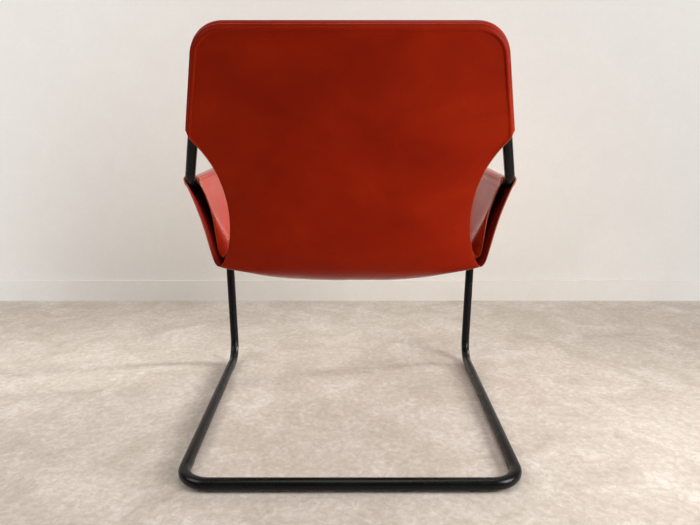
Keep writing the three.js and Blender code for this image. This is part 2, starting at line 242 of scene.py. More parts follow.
# Handling marks: soft smudges that change the gloss, with a little dust on what faces up
def makeHandling():
    group, inlet, outlet = newGroup("handlingMarks", {"Smudge Size": 18.0}, ["Smudge", "Dust"])
    where = objectSpace(group)
    smudge = noiseNode(group, where, inlet.outputs["Smudge Size"], 5.0, 0.5, 0.8)
    group.links.new(ramp(group, smudge, [(0.35, 0.0), (0.68, 1.0)]), outlet.inputs["Smudge"])
    facing = addNode(group, "ShaderNodeSeparateXYZ")
    group.links.new(addNode(group, "ShaderNodeNewGeometry").outputs["Normal"], facing.inputs[0])
    upward = ramp(group, facing.outputs["Z"], [(0.2, 0.0), (1.0, 1.0)])
    specks = ramp(group, noiseNode(group, where, 420.0, 3.0, 0.7), [(0.5, 0.0), (0.75, 1.0)])
    group.links.new(mathNode(group, "MULTIPLY", upward, specks), outlet.inputs["Dust"])
    return group


leatherGrain = makeLeatherGrain()
handlingMarks = makeHandling()


def placeGroup(tree, group, values):
    node = addNode(tree, "ShaderNodeGroup", node_tree=group)
    for label, value in values.items():
        node.inputs[label].default_value = value
    return node


def newMaterial(name):
    material = bpy.data.materials.new(name)
    material.use_nodes = True
    tree = material.node_tree
    return material, tree, tree.nodes["Principled BSDF"]


def bumpFrom(tree, shader, height, strength, distance):
    node = addNode(tree, "ShaderNodeBump")
    node.inputs["Strength"].default_value = strength
    node.inputs["Distance"].default_value = distance
    tree.links.new(height, node.inputs["Height"])
    tree.links.new(node.outputs["Normal"], shader.inputs["Normal"])


leatherLook = {
    "deep": (0.225, 0.0085, 0.0005),
    "middle": (0.288, 0.0125, 0.0008),
    "warm": (0.345, 0.0185, 0.0018),
    "paintedTopShade": (0.230, 0.0090, 0.0008),  # painted shade: the top edge of the back coloured darker, as if less light fell on it from above
    "flesh": (0.115, 0.0036, 0.0016),
    "cutEdge": (0.440, 0.1250, 0.0650),
    "roughness": 0.38,
    "fleshRoughness": 0.62,
    "cutRoughness": 0.5,
    "smudgeDulling": 0.09,
    "fleckDulling": 0.05,
    "fleckTone": 0.22,
    "specular": 0.06,
    "cloudSize": 4.5,
    "smudgeSize": 9.0,
    "poreSize": 850.0,
    "poreStrength": 0.5,
    "poreDepth": 0.00012,
    "fleshDepth": 0.00035,
    "cutDepth": 0.0002,
    # heights over which the painted shade at the top edge of the back comes in
    "paintedTopShadeHeights": [(0.808, 0.0), (0.814, 0.8)],
    "waxedAngles": [(0.35, 0.0), (0.8, 1.0)],  # the wax shows where the leather is seen along its surface
    "waxedHeights": [(0.56, 1.0), (0.62, 0.35), (0.812, 0.1)],  # and most on the arms, which hands polish
    "waxRoughness": 0.16,
}


def makeLeather(name, tones, roughness, poreDepth, isFace=False):
    material, tree, shader = newMaterial(name)
    look = leatherLook
    dark, usual, light = (look[tone] for tone in tones)
    grain = placeGroup(tree, leatherGrain, {"Cloud Size": look["cloudSize"], "Pore Size": look["poreSize"]})
    marks = placeGroup(tree, handlingMarks, {"Smudge Size": look["smudgeSize"]})
    colour = ramp(tree, grain.outputs["Cloud"], [(0.0, dark), (0.55, usual), (1.0, light)])
    flecks = mathNode(tree, "MULTIPLY", grain.outputs["Fleck"], look["fleckTone"])
    colour = mixColour(tree, flecks, colour, dark)
    if isFace:
        height = addNode(tree, "ShaderNodeSeparateXYZ")
        tree.links.new(objectSpace(tree), height.inputs[0])
        # painted shade: the colour darkens along the top edge of the back
        paintedTopShade = ramp(tree, height.outputs["Z"], look["paintedTopShadeHeights"])
        colour = mixColour(tree, paintedTopShade, colour, look["paintedTopShade"])
        slanting = addNode(tree, "ShaderNodeLayerWeight")
        slanting.inputs["Blend"].default_value = 0.5
        waxed = ramp(tree, slanting.outputs["Facing"], look["waxedAngles"])
        kept = ramp(tree, height.outputs["Z"], look["waxedHeights"])
        tree.links.new(mathNode(tree, "MULTIPLY", waxed, kept), shader.inputs["Coat Weight"])
        shader.inputs["Coat Roughness"].default_value = look["waxRoughness"]
    tree.links.new(colour, shader.inputs["Base Color"])
    smudges = mathNode(tree, "MULTIPLY", marks.outputs["Smudge"], look["smudgeDulling"])
    dulled = mathNode(tree, "MULTIPLY", grain.outputs["Fleck"], look["fleckDulling"])
    dulled = mathNode(tree, "ADD", mathNode(tree, "ADD", smudges, roughness), dulled)
    tree.links.new(dulled, shader.inputs["Roughness"])
    shader.inputs["Specular IOR Level"].default_value = look["specular"]
    bumpFrom(tree, shader, grain.outputs["Pores"], look["poreStrength"], poreDepth)
    return material


leatherFace = makeLeather("oxbloodLeather", ("deep", "middle", "warm"),
                          leatherLook["roughness"], leatherLook["poreDepth"], isFace=True)
leatherFlesh = makeLeather("leatherFleshSide", ("flesh", "flesh", "flesh"),
                           leatherLook["fleshRoughness"], leatherLook["fleshDepth"])
leatherCut = makeLeather("leatherCutEdge", ("warm", "cutEdge", "cutEdge"),
                         leatherLook["cutRoughness"], leatherLook["cutDepth"])

steelLook = {
    "colour": (0.0022, 0.0024, 0.0027),
    "lighter": (0.0042, 0.0045, 0.0050),
    "dust": (0.35, 0.33, 0.30),
    "dustShare": 0.05,
    "roughness": 0.22,
    "smudgeDulling": 0.10,
    "smudgeSize": 14.0,
    "specular": 0.20,
    "peelSize": 900.0,
    "peelDepth": 0.00006,
}


def makeBlackSteel():
    material, tree, shader = newMaterial("blackPowderCoat")
    look = steelLook
    marks = placeGroup(tree, handlingMarks, {"Smudge Size": look["smudgeSize"]})
    worn = mixColour(tree, marks.outputs["Smudge"], look["colour"], look["lighter"])
    dust = mathNode(tree, "MULTIPLY", marks.outputs["Dust"], look["dustShare"])
    tree.links.new(mixColour(tree, dust, worn, look["dust"]), shader.inputs["Base Color"])
    dulled = mathNode(tree, "MULTIPLY", marks.outputs["Smudge"], look["smudgeDulling"])
    tree.links.new(mathNode(tree, "ADD", dulled, look["roughness"]), shader.inputs["Roughness"])
    shader.inputs["Specular IOR Level"].default_value = look["specular"]
    bumpFrom(tree, shader, noiseNode(tree, objectSpace(tree), look["peelSize"]), 0.4, look["peelDepth"])
    return material


weldLook = {
    "dark": (0.20, 0.20, 0.21),
    "bright": (0.42, 0.40, 0.38),
    "brushed": (40.0, 900.0, 900.0),
    "roughness": [(0.0, 0.32), (1.0, 0.55)],
    "depth": 0.0001,
}


def makeGroundWeld():
    material, tree, shader = newMaterial("groundWeld")
    brush = addNode(tree, "ShaderNodeMapping")
    brush.inputs["Scale"].default_value = weldLook["brushed"]
    tree.links.new(objectSpace(tree), brush.inputs["Vector"])
    lines = noiseNode(tree, brush.outputs["Vector"], 1.0, 4.0, 0.7)
    tree.links.new(mixColour(tree, lines, weldLook["dark"], weldLook["bright"]), shader.inputs["Base Color"])
    shader.inputs["Metallic"].default_value = 1.0
    tree.links.new(ramp(tree, lines, weldLook["roughness"]), shader.inputs["Roughness"])
    bumpFrom(tree, shader, lines, 0.4, weldLook["depth"])
    return material


glideLook = {
    "colour": (0.012, 0.012, 0.012),
    "dust": (0.06, 0.057, 0.052),
    "smudgeSize": 60.0,
    "roughness": [(0.0, 0.5), (1.0, 0.68)],
    "grainSize": 1500.0,
    "depth": 0.00008,
}


def makeNylon():
    material, tree, shader = newMaterial("blackNylon")
    look = glideLook
    marks = placeGroup(tree, handlingMarks, {"Smudge Size": look["smudgeSize"]})
    dusty = mixColour(tree, marks.outputs["Dust"], look["colour"], look["dust"])
    tree.links.new(dusty, shader.inputs["Base Color"])
    tree.links.new(ramp(tree, marks.outputs["Smudge"], look["roughness"]), shader.inputs["Roughness"])
    bumpFrom(tree, shader, noiseNode(tree, objectSpace(tree), look["grainSize"]), 0.3, look["depth"])
    return material


threadLook = {
    "dark": (0.05, 0.006, 0.003),
    "light": (0.13, 0.014, 0.006),
    "twist": 900.0,
    "wobble": 1.5,
    "roughness": 0.55,
    "depth": 0.00015,
}


def makeThread():
    material, tree, shader = newMaterial("waxedThread")
    look = threadLook
    twist = addNode(tree, "ShaderNodeTexWave", wave_type="BANDS", bands_direction="DIAGONAL")
    twist.inputs["Scale"].default_value = look["twist"]
    twist.inputs["Distortion"].default_value = look["wobble"]
    tree.links.new(objectSpace(tree), twist.inputs["Vector"])
    twisted = mixColour(tree, twist.outputs["Fac"], look["dark"], look["light"])
    tree.links.new(twisted, shader.inputs["Base Color"])
    shader.inputs["Roughness"].default_value = look["roughness"]
    bumpFrom(tree, shader, twist.outputs["Fac"], 0.6, look["depth"])
    return material


blackSteel = makeBlackSteel()
groundWeld = makeGroundWeld()
blackNylon = makeNylon()
waxedThread = makeThread()
print("materials made")


def barLine():
    side = [backCorner, armRear, armFront, floorFront, floorRear]
    first = backMiddle + np.array([bar["weldWidth"] / 2 + bar["weldGap"], 0, 0])
    corners = [first, *side, *[mirrored(p) for p in reversed(side)], mirrored(first)]
    stations = [(corners[0], unit(corners[1] - corners[0]))]
    for before, corner, after in zip(corners, corners[1:], corners[2:]):
        bend = Bend(before, corner, after)
        stations += [bend.at(step / bar["stepsPerBend"]) for step in range(bar["stepsPerBend"] + 1)]
    return stations + [(corners[-1], unit(corners[-1] - corners[-2]))]


def sweep(stations, section):
    # carries a closed section along the stations without twisting it
    up = np.array([0.0, 0.0, 1.0])
    rings = []
    for point, along in stations:
        up = unit(up - along * np.dot(up, along))
        across = np.cross(along, up)
        rings.append([point + across * a + up * b for a, b in section])
    count = len(section)
    verts = [v for ring in rings for v in ring]
    faces = []
    for ring in range(len(rings) - 1):
        here, beyond = ring * count, (ring + 1) * count
        for i in range(count):
            j = (i + 1) % count
            faces.append((here + i, here + j, beyond + j, beyond + i))
    faces.append(tuple(reversed(range(count))))
    faces.append(tuple(range((len(rings) - 1) * count, len(rings) * count)))
    return verts, faces


def makeBar():
    radius = bar["diameter"] / 2
    angles = [2 * math.pi * i / bar["sides"] for i in range(bar["sides"])]
    verts, faces = sweep(barLine(), [(radius * math.cos(a), radius * math.sin(a)) for a in angles])
    made = meshObject("bentBar", verts, faces, [blackSteel])
    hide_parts("frame_bar")
    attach(made, "root")
    return made


def dress(node, material):
    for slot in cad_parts[node].material_slots:
        slot.link = "OBJECT"
        slot.material = material


bentBar = makeBar()
dress("butt_weld", groundWeld)
print("bar and weld dressed")

# The leather sling: two panels that share one middle line, with angles in degrees round the bar
sling = {
    "thickness": 0.0032,
    "sleeveSlack": 0.0015,
    "clearance": 0.0003,
    "panelSpacing": 0.0056,
    "rimSeamAngle": 47.0,
    "rimLapAngle": 20.0,
    "armOuterAngle": 22.0,
    "armInnerAngle": 10.0,
    "armSeamAngle": 38.0,
    "armTuckAngle": 2.0,
    "seatLowHeight": 0.274,
    "seatFrontReach": 0.634,
    "hemHeight": 0.622,
    "hemSlant": 0.025,
    "sleeveRearAngle": 36.0,
    "sleeveRearSlant": 12.0,
    "sleeveFrontGap": 0.006,
    "bowlPower": 2.4,
    "troughPower": 4.4,
    "drawnInShare": 0.107,
    "partedShare": 0.2,
    "closeBy": 0.060,  # from the arm bar down to where the sewn panels lie together
}
# How finely the panels are drawn
fineness = {
    "rowsPerRow": 7,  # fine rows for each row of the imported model
    "rowCrowding": 1.4,  # towards the lowest point of a cut-out
    "rowSamples": 260,
    "columns": 60,
    "crowding": 0.62,  # how closely the columns crowd towards the side edges
    "outerRimSteps": 22,
    "innerRimSteps": 30,
    "outerArmSteps": 30,
    "innerArmSteps": 10,
    "joinWithin": 2e-5,
    "smoothing": 36,
    "cutSteps": 4,
    "cutRounding": 0.0009,
}
# What use has done to them, and the seam's marks
wear = {
    "ripple": 0.0011,
    "rippleFrom": 0.004,  # from a held edge
    "rippleTo": 0.07,
    "slowRipple": (9.0, 7.0, 6.0),
    "quickRipple": (21.0, 15.0, 17.0),
    "quickShift": 7.0,
    "quickShare": 0.5,
    "ridge": 0.0026,  # step in where the hidden edge of the inner panel ends under the outer one
    "ridgeFrom": 0.0044,  # from the stitches, and so to its foot
    "ridgeTo": 0.0088,
    "ridgeFadeFrom": 0.04,
    "ridgeFadeTo": 0.13,
    "groove": 0.0005,  # along the stitches
    "grooveWidth": 0.07,  # this and the next three in radians round the bar
    "bulgeAt": 0.33,
    "bulgeWidth": 0.2,
    "bulgeStart": 0.12,
    "bulge": 0.0004,
}
thread = {
    "length": 0.0036,
    "gap": 0.0014,
    "radius": 0.00045,
    "inset": 0.0046,
    "sides": 6,
    "flattening": 1.15,
    "profile": [(-0.5, 0.15), (-0.42, 0.75), (-0.2, 1.0), (0.2, 1.0), (0.42, 0.75), (0.5, 0.15)],
    "crown": 0.6,  # in radii above the leather, and how far the ends dip from there
    "dip": 1.6,
}
cutOuter = {
    "low": 0.044,
    "lowReach": 0.431,
    "lowRise": 0.043,
    "waist": 0.137,
    "waistDrop": 0.138,
    "drawn": 0.020,
    "foot": 0.024,
    "rise": 0.126,
    "lean": 0.043,
}
cutInner = {
    "low": 0.052,
    "lowReach": 0.432,
    "lowRise": 0.066,
    "waist": 0.130,
    "waistDrop": 0.128,
    "drawn": 0.022,
    "foot": 0.020,
    "rise": 0.072,
    "lean": 0.032,
}
sleeveRadius = bar["diameter"] / 2 + sling["sleeveSlack"] + sling["thickness"] / 2
lapRadius = sleeveRadius + sling["thickness"] + 2 * sling["clearance"]

# Rows run down from the top of the back to the front edge of the seat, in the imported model's own rows
rowEnds = {
    "rodStart": 3,
    "waistStart": 6,
    "cutLow": 13,
    "sewnFrom": 15,
    "armStart": 19,
    "armBendEnd": 22,
    "sewnTo": 23,
    "lastRow": 24,
}
rowShares = [(0, 0), (3, 0.06), (6, 0.29), (13, 0.7), (19, 0.84), (22, 0.904), (24, 1)]
profileShares = [(0, 1), (0.104, 0.836), (0.215, 0.674), (0.309, 0.503), (0.401, 0.298), (0.471, 0.141),
                 (0.556, 0.043), (0.664, 0), (0.787, 0.026), (0.906, 0.092), (1, 0.17)]


def rowShare(row, first, last):
    return (row - rowEnds[first]) / (rowEnds[last] - rowEnds[first])


class SmoothCurve:
    # a natural cubic spline through points, by its length
    def __init__(self, points, samples=1200):
        points = np.asarray(points, float)
        knots = lengthsAlong(points)
        gaps = np.diff(knots)
        size = len(points)
        matrix = np.zeros((size, size))
        right = np.zeros_like(points)
        matrix[0, 0] = matrix[-1, -1] = 1
        for i in range(1, size - 1):
            before, after = gaps[i - 1], gaps[i]
            matrix[i, i - 1:i + 2] = before, 2 * (before + after), after
            right[i] = 6 * ((points[i + 1] - points[i]) / after - (points[i] - points[i - 1]) / before)
        second = np.linalg.solve(matrix, right)
        at = np.linspace(0, knots[-1], samples)
        i = np.clip(np.searchsorted(knots, at) - 1, 0, size - 2)
        left, rest = (at - knots[i])[:, None], (knots[i + 1] - at)[:, None]
        gap = gaps[i][:, None]
        fromLeft = (points[i] / gap - second[i] * gap / 6) * rest
        fromRight = (points[i + 1] / gap - second[i + 1] * gap / 6) * left
        self.points = (second[i] * rest**3 + second[i + 1] * left**3) / (6 * gap)
        self.points += fromLeft + fromRight
        self.lengths = lengthsAlong(self.points)

    def at(self, share):
        return spotsAlong(share * self.lengths[-1], self.lengths, self.points)

    def along(self, share):
        step = 0.004
        return unit(self.at(min(1, share + step)) - self.at(max(0, share - step)))


class Bezier(SmoothCurve):
    def __init__(self, a, b, c, d, samples=600):
        t = np.linspace(0, 1, samples)[:, None]
        self.points = (1 - t) ** 3 * a + 3 * (1 - t) ** 2 * t * b + 3 * (1 - t) * t**2 * c + t**3 * d
        self.lengths = lengthsAlong(self.points)


def monotone(knots, x):
    # a smooth rising curve through the knots, without overshoot
    xs, ys = np.array(knots, float).T
    gaps, rises = np.diff(xs), np.diff(ys)
    slopes = rises / gaps
    tangents = np.concatenate([[slopes[0]], [0] * (len(xs) - 2), [slopes[-1]]])
    for i in range(1, len(xs) - 1):
        a, b = 2 * gaps[i] + gaps[i - 1], gaps[i] + 2 * gaps[i - 1]
        tangents[i] = (a + b) / (a / slopes[i - 1] + b / slopes[i])
    i = int(np.clip(np.searchsorted(xs, x, side="right") - 1, 0, len(xs) - 2))
    t = (x - xs[i]) / gaps[i]
    return ((2 * t**3 - 3 * t**2 + 1) * ys[i] + (t**3 - 2 * t**2 + t) * gaps[i] * tangents[i]
            + (-2 * t**3 + 3 * t**2) * ys[i + 1] + (t**3 - t**2) * gaps[i] * tangents[i + 1])


def middleSpot(reachShare, heightShare):
    reach = mix(bar["backTopReach"], sling["seatFrontReach"], reachShare)
    return place(0, reach, mix(sling["seatLowHeight"], bar["backTopHeight"], heightShare))


middleLine = SmoothCurve([middleSpot(*shares) for shares in profileShares])
sideways = np.array([1.0, 0.0, 0.0])
upwards = np.array([0.0, 0.0, 1.0])
rodAlong = unit(armRear - backCorner)
armAlong = unit(armFront - armRear)
armBarEnd = frontBend.start - armAlong * sling["sleeveFrontGap"]


def hoopSpot(point, along):
    return point, unit(np.cross(along, hoopNormal))


def topSpot(share):
    return hoopSpot(mix(backMiddle, hoopBend.start, share), hoopBend.incoming)


def cornerSpot(share):
    return hoopSpot(*hoopBend.at(share))


def rodSpot(height):
    share = (hoopBend.end[2] - height) / (hoopBend.end[2] - armRear[2])
    return hoopSpot(mix(hoopBend.end, armRear, share), rodAlong)


def armSpot(point, along):
    outward = unit(np.cross(along, upwards))
    outward = outward if outward[0] > 0 else -outward
    up = unit(np.cross(along, outward))
    return point, outward, up if up[2] > 0 else -up


def armBendSpot(share, covered):
    return armSpot(*armBend.at(1 - math.radians(covered) / armBend.turn * (1 - share)))


def armBarSpot(share):
    return armSpot(mix(armBend.end, armBarEnd, share), armAlong)


columnShares = np.linspace(0, 1, fineness["columns"] + 1)
columnShares = (1 + fineness["crowding"]) * columnShares - fineness["crowding"] * columnShares**2


def stitchAngle():
    return math.radians(sling["rimSeamAngle"]) - thread["inset"] / (lapRadius + sling["thickness"] / 2)


class Panel:
    def __init__(self, side, cut):
        self.side = side  # 1 for the outer panel, behind and below, and -1 for the inner one
        self.isOuter = side > 0
        self.hoopRadius = lapRadius if self.isOuter else sleeveRadius
        self.armRadius = sleeveRadius if self.isOuter else lapRadius
        if self.isOuter:
            self.armLeave = -math.radians(sling["armOuterAngle"])
        else:
            self.armLeave = math.pi + math.radians(sling["armInnerAngle"])
        self.rearSlant = sling["sleeveRearSlant"] if self.isOuter else 0
        hem = self.hoopHold(rodSpot(sling["hemHeight"]))
        armCorner = self.armHold(self.armSpotAt(rowEnds["armStart"]), self.armLeave)
        lowWidth = bar["armRearWidth"] / 2 - cut["low"]
        low = place(lowWidth, cut["lowReach"], sling["seatLowHeight"] + cut["lowRise"])
        self.waistEdge = Bezier(hem, hem + rodAlong * cut["waistDrop"] - sideways * cut["waist"],
                                low - sideways * cut["drawn"], low)
        lean = armCorner - upwards * cut["rise"] - np.array([1.0, 1.0, 0.0]) * cut["lean"]
        self.armEdge = Bezier(low, low + sideways * cut["foot"], lean, armCorner)
        self.quads = []
        self.halfGrid()

    def hoopHold(self, spot, angle=0.0, radius=None):
        radius = radius or self.hoopRadius
        point, outward = spot
        facingOut = hoopNormal * self.side * radius * math.cos(angle)
        return point + outward * radius * math.sin(angle) + facingOut

    def armHold(self, spot, angle, radius=None):
        radius = radius or self.armRadius
        point, outward, up = spot
        return point + outward * radius * math.cos(angle) + up * radius * math.sin(angle)

    def edge(self, row):
        if row <= rowEnds["rodStart"]:
            return self.hoopHold(cornerSpot(mix(0.5, 1, row / rowEnds["rodStart"])))
        if row < rowEnds["waistStart"]:
            share = rowShare(row, "rodStart", "waistStart")
            return self.hoopHold(rodSpot(mix(hoopBend.end[2], sling["hemHeight"], share)))
        if row < rowEnds["cutLow"]:
            return self.waistEdge.at(1 - rowShare(row, "cutLow", "waistStart") ** fineness["rowCrowding"])
        if row < rowEnds["armStart"]:
            return self.armEdge.at(rowShare(row, "cutLow", "armStart") ** fineness["rowCrowding"])
        return self.armHold(self.armSpotAt(row), self.armLeave)

    def armSpotAt(self, row, wrapped=0.0):
        if row < rowEnds["armBendEnd"]:
            covered = sling["sleeveRearAngle"] + self.rearSlant * (1 - wrapped)
            return armBendSpot(rowShare(row, "armStart", "armBendEnd"), covered)
        return armBarSpot(rowShare(row, "armBendEnd", "lastRow"))

    def armRows(self):
        return [row for row in self.rows if row >= rowEnds["armStart"]]

    def armLine(self, angle, radius=None):
        return np.array([self.armHold(self.armSpotAt(row), angle, radius) for row in self.armRows()])

    def middle(self, row):
        share = monotone(rowShares, row)
        normal = unit(np.cross(sideways, middleLine.along(share)))
        parted = 1 - eased(share, 0, sling["partedShare"])
        apart = mix(sling["panelSpacing"] / 2, self.hoopRadius, parted)
        return middleLine.at(share) + normal * self.side * apart

    def halfRow(self, row):
        middle, edge = self.middle(row), self.edge(row)
        hung = eased(row, rowEnds["waistStart"], rowEnds["armStart"])
        trough = eased(row, rowEnds["cutLow"], rowEnds["armStart"])
        power = 2 / mix(sling["bowlPower"], sling["troughPower"], trough)
        angle = math.pi / 2 * np.linspace(0, 1, fineness["rowSamples"]) ** 2
        across = np.sin(angle) ** power
        rise = mix(across**3, 1 - np.clip(np.cos(angle), 0, 1) ** power, hung)
        drawnIn = sling["drawnInShare"] * trough * (1 - rise**2)
        points = middle + (edge - middle) * rise[:, None]
        points[:, 0] = edge[0] * across * (1 - drawnIn)
        lengths = lengthsAlong(points)
        wanted = lengths[-1] * columnShares
        self.fromBar.append(lengths[-1] - wanted)
        return spotsAlong(wanted, lengths, points)

    def topRowSpot(self, share):
        straight = hoopBend.start[0]
        wanted = share * (straight + bar["bendRadius"] * hoopBend.turn / 2)
        if wanted <= straight:
            return topSpot(wanted / straight)
        return cornerSpot((wanted - straight) / (bar["bendRadius"] * hoopBend.turn))

    def halfGrid(self):
        fineRows = rowEnds["lastRow"] * fineness["rowsPerRow"]
        self.rows = np.linspace(0, rowEnds["lastRow"], fineRows + 1)
        self.fromBar = []
        grid = np.array([self.halfRow(row) for row in self.rows])
        top = np.array([self.hoopHold(self.topRowSpot(share)) for share in columnShares])
        moves = top - grid[0]
        moves[-1] = 0
        fade = np.clip(1 - self.rows / rowEnds["waistStart"], 0, 1) ** 2
        grid += fade[:, None, None] * moves[None]
        grid[0] = top
        self.grid = grid

    def addQuads(self, grid, kind):
        a, b, c, d = grid[:-1, :-1], grid[1:, :-1], grid[1:, 1:], grid[:-1, 1:]
        quads = np.stack([a, b, c, d], axis=2).reshape(-1, 4, 3)
        self.quads.append((quads, kind))
        self.quads.append((mirrored(np.stack([b, a, d, c], axis=2).reshape(-1, 4, 3)), kind))

    def build(self):
        self.addQuads(self.grid, 0)
        self.hoopStrip()
        self.armStrip()

    def rimLine(self):
        # spots round the hoop with the share of the hem's slant at each
        spots = [(self.topRowSpot(share), 0.0) for share in columnShares]
        for row in self.rows[1:]:
            if row > rowEnds["waistStart"]:
                break
            share = max(0, rowShare(row, "rodStart", "waistStart"))
            if row <= rowEnds["rodStart"]:
                spot = cornerSpot(mix(0.5, 1, row / rowEnds["rodStart"]))
            else:
                spot = rodSpot(mix(hoopBend.end[2], sling["hemHeight"], share))
            spots.append((spot, sling["hemSlant"] * share**2))
        return spots

    def rimPoint(self, spot, slant, angle, radius=None):
        return self.hoopHold(spot, angle, radius) - rodAlong * slant * math.sin(angle)

    def rimPoints(self, angle, radius=None):
        return np.array([self.rimPoint(spot, slant, angle, radius) for spot, slant in self.rimLine()])

    def rimRadius(self, angle):
        # the outer panel is drawn in along its stitches and stands out a little below them
        if not self.isOuter:
            return self.hoopRadius
        stitched = stitchAngle() - angle
        groove = wear["groove"] * math.exp(-((stitched / wear["grooveWidth"]) ** 2))
        bulge = wear["bulge"] * math.exp(-(((stitched - wear["bulgeAt"]) / wear["bulgeWidth"]) ** 2))
        return self.hoopRadius - groove + bulge * eased(angle, 0, wear["bulgeStart"])

    def hoopStrip(self):
        covered = sling["rimSeamAngle"]
        steps = fineness["outerRimSteps"]
        if not self.isOuter:
            covered = 180 - sling["rimSeamAngle"] + sling["rimLapAngle"]
            steps = fineness["innerRimSteps"]
        angles = [math.radians(covered) * step / steps for step in range(steps + 1)]
        lines = [[self.rimPoint(spot, slant, angle, self.rimRadius(angle)) for angle in angles]
                 for spot, slant in self.rimLine()]
        self.addQuads(np.array(lines), 1)

    def armEnd(self):
        if self.isOuter:
            return math.pi + math.radians(sling["armTuckAngle"])
        return math.pi - math.radians(sling["armSeamAngle"])

    def armStrip(self):
        steps = fineness["outerArmSteps"] if self.isOuter else fineness["innerArmSteps"]
        shares = [step / steps for step in range(steps + 1)]
        lines = [[self.armHold(self.armSpotAt(row, share), mix(self.armLeave, self.armEnd(), share))
                  for share in shares] for row in self.armRows()]
        self.addQuads(np.array(lines), 1)


def sewTogether(outer, inner):
    # below the arms and along the front edge the panels close up about the surface between them
    shared = (outer.grid + inner.grid) / 2
    along, across = np.gradient(shared, axis=0), np.gradient(shared, axis=1)
    normal = np.cross(across, along)
    normal /= np.maximum(np.linalg.norm(normal, axis=2, keepdims=True), 1e-12)
    closed = eased(outer.rows, rowEnds["sewnFrom"], rowEnds["sewnTo"])
    seam = sling["thickness"] + 2 * sling["clearance"]
    atFront = eased(outer.rows, rowEnds["armBendEnd"], rowEnds["lastRow"])
    spacing = mix(sling["panelSpacing"], seam, atFront)
    for panel in (outer, inner):
        sewn = shared + normal * (panel.side * spacing / 2)[:, None, None]
        near = eased(np.array(panel.fromBar), 0, sling["closeBy"])
        panel.grid = mix(panel.grid, sewn, (closed[:, None] * near)[:, :, None])


def weldQuads(parts):
    # joins the corners that lie together, and says which vertices lie on the bar's sleeves
    corners = np.concatenate([quads for quads, _ in parts])
    kinds = np.concatenate([np.full(len(quads), kind) for quads, kind in parts])
    keys = np.round(corners.reshape(-1, 3) / fineness["joinWithin"]).astype(np.int64)
    _, first, inverse = np.unique(keys, axis=0, return_index=True, return_inverse=True)
    verts = corners.reshape(-1, 3)[first]
    faces = inverse.reshape(-1, 4)
    held = np.zeros(len(verts), bool)
    held[faces[kinds == 1].ravel()] = True
    return verts, faces, held


def facing(verts, faces):
    normals = np.zeros_like(verts)
    diagonals = verts[faces[:, 2]] - verts[faces[:, 0]], verts[faces[:, 3]] - verts[faces[:, 1]]
    faceNormals = np.cross(*diagonals)
    for corner in range(4):
        np.add.at(normals, faces[:, corner], faceNormals)
    return normals / np.maximum(np.linalg.norm(normals, axis=1, keepdims=True), 1e-12)


def boundary(faces):
    seen = {}
    for face in faces:
        for a, b in zip(face, np.roll(face, -1)):
            a, b = int(a), int(b)
            if (b, a) in seen:
                del seen[(b, a)]
            else:
                seen[(a, b)] = True
    return list(seen)


def relax(verts, faces, hold, rounds):
    # evens out creases: every free vertex drifts towards the mean of its neighbours
    edges = np.concatenate([faces[:, [0, 1]], faces[:, [1, 2]], faces[:, [2, 3]], faces[:, [3, 0]]])
    edges = np.unique(np.sort(edges, axis=1), axis=0)
    degree = np.bincount(edges.ravel(), minlength=len(verts)).astype(float)
    free = (1 - hold)[:, None]
    for _ in range(rounds):
        total = np.zeros_like(verts)
        np.add.at(total, edges[:, 0], verts[edges[:, 1]])
        np.add.at(total, edges[:, 1], verts[edges[:, 0]])
        verts = verts + free * 0.5 * (total / degree[:, None] - verts)
    return verts


def nearest(points, line):
    # distance from each point to the closest point of a line
    best = np.full(len(points), np.inf)
    for start in range(0, len(line), 40):
        gap = np.linalg.norm(points[:, None, :] - line[None, start:start + 40], axis=2).min(axis=1)
        best = np.minimum(best, gap)
    return best


def thicken(name, verts, faces, thickness, materials):
    # two faces and a slightly rounded cut edge round the outline
    normals = facing(verts, faces)
    count = len(verts)
    rim = boundary(faces)
    outward = np.zeros_like(verts)
    for a, b in rim:
        out = np.cross(verts[b] - verts[a], normals[a] + normals[b])
        outward[a] += out
        outward[b] += out
    lengths = np.linalg.norm(outward, axis=1, keepdims=True)
    outward = outward / np.maximum(lengths, 1e-12)
    layers = [verts + normals * thickness / 2, verts - normals * thickness / 2]
    layerFaces = [faces, faces[:, ::-1] + count]
    kinds = [np.zeros(len(faces), int), np.ones(len(faces), int)]
    rimVerts = sorted({v for edge in rim for v in edge})
    index = {v: i for i, v in enumerate(rimVerts)}
    rings = [np.array(rimVerts)]
    for step in range(1, fineness["cutSteps"]):
        angle = math.pi / 2 - math.pi * step / fineness["cutSteps"]
        ring = verts[rimVerts] + normals[rimVerts] * thickness / 2 * math.sin(angle)
        layers.append(ring + outward[rimVerts] * fineness["cutRounding"] * math.cos(angle))
        rings.append(np.arange(len(rimVerts)) + 2 * count + (step - 1) * len(rimVerts))
    rings.append(np.array(rimVerts) + count)
    wall = []
    for upper, lower in zip(rings, rings[1:]):
        for a, b in rim:
            i, j = index[a], index[b]
            wall.append((upper[j], upper[i], lower[i], lower[j]))
    layerFaces.append(np.array(wall))
    kinds.append(np.full(len(wall), 2))
    sharp = rim + [(a + count, b + count) for a, b in rim]
    allVerts, allFaces = np.concatenate(layers), np.concatenate(layerFaces)
    return meshObject(name, allVerts, allFaces, materials, np.concatenate(kinds), sharp)


def rippleAt(v):
    # slow ripples, the same for both panels so that they keep apart
    slow, quick = wear["slowRipple"], wear["quickRipple"]
    broad = noise.noise(Vector((v[0] * slow[0], v[1] * slow[1], v[2] * slow[2])))
    small = noise.noise(Vector((v[0] * quick[0] + wear["quickShift"], v[1] * quick[1], v[2] * quick[2])))
    return broad + wear["quickShare"] * small


def bothSides(points):
    return np.concatenate([points, mirrored(points)])


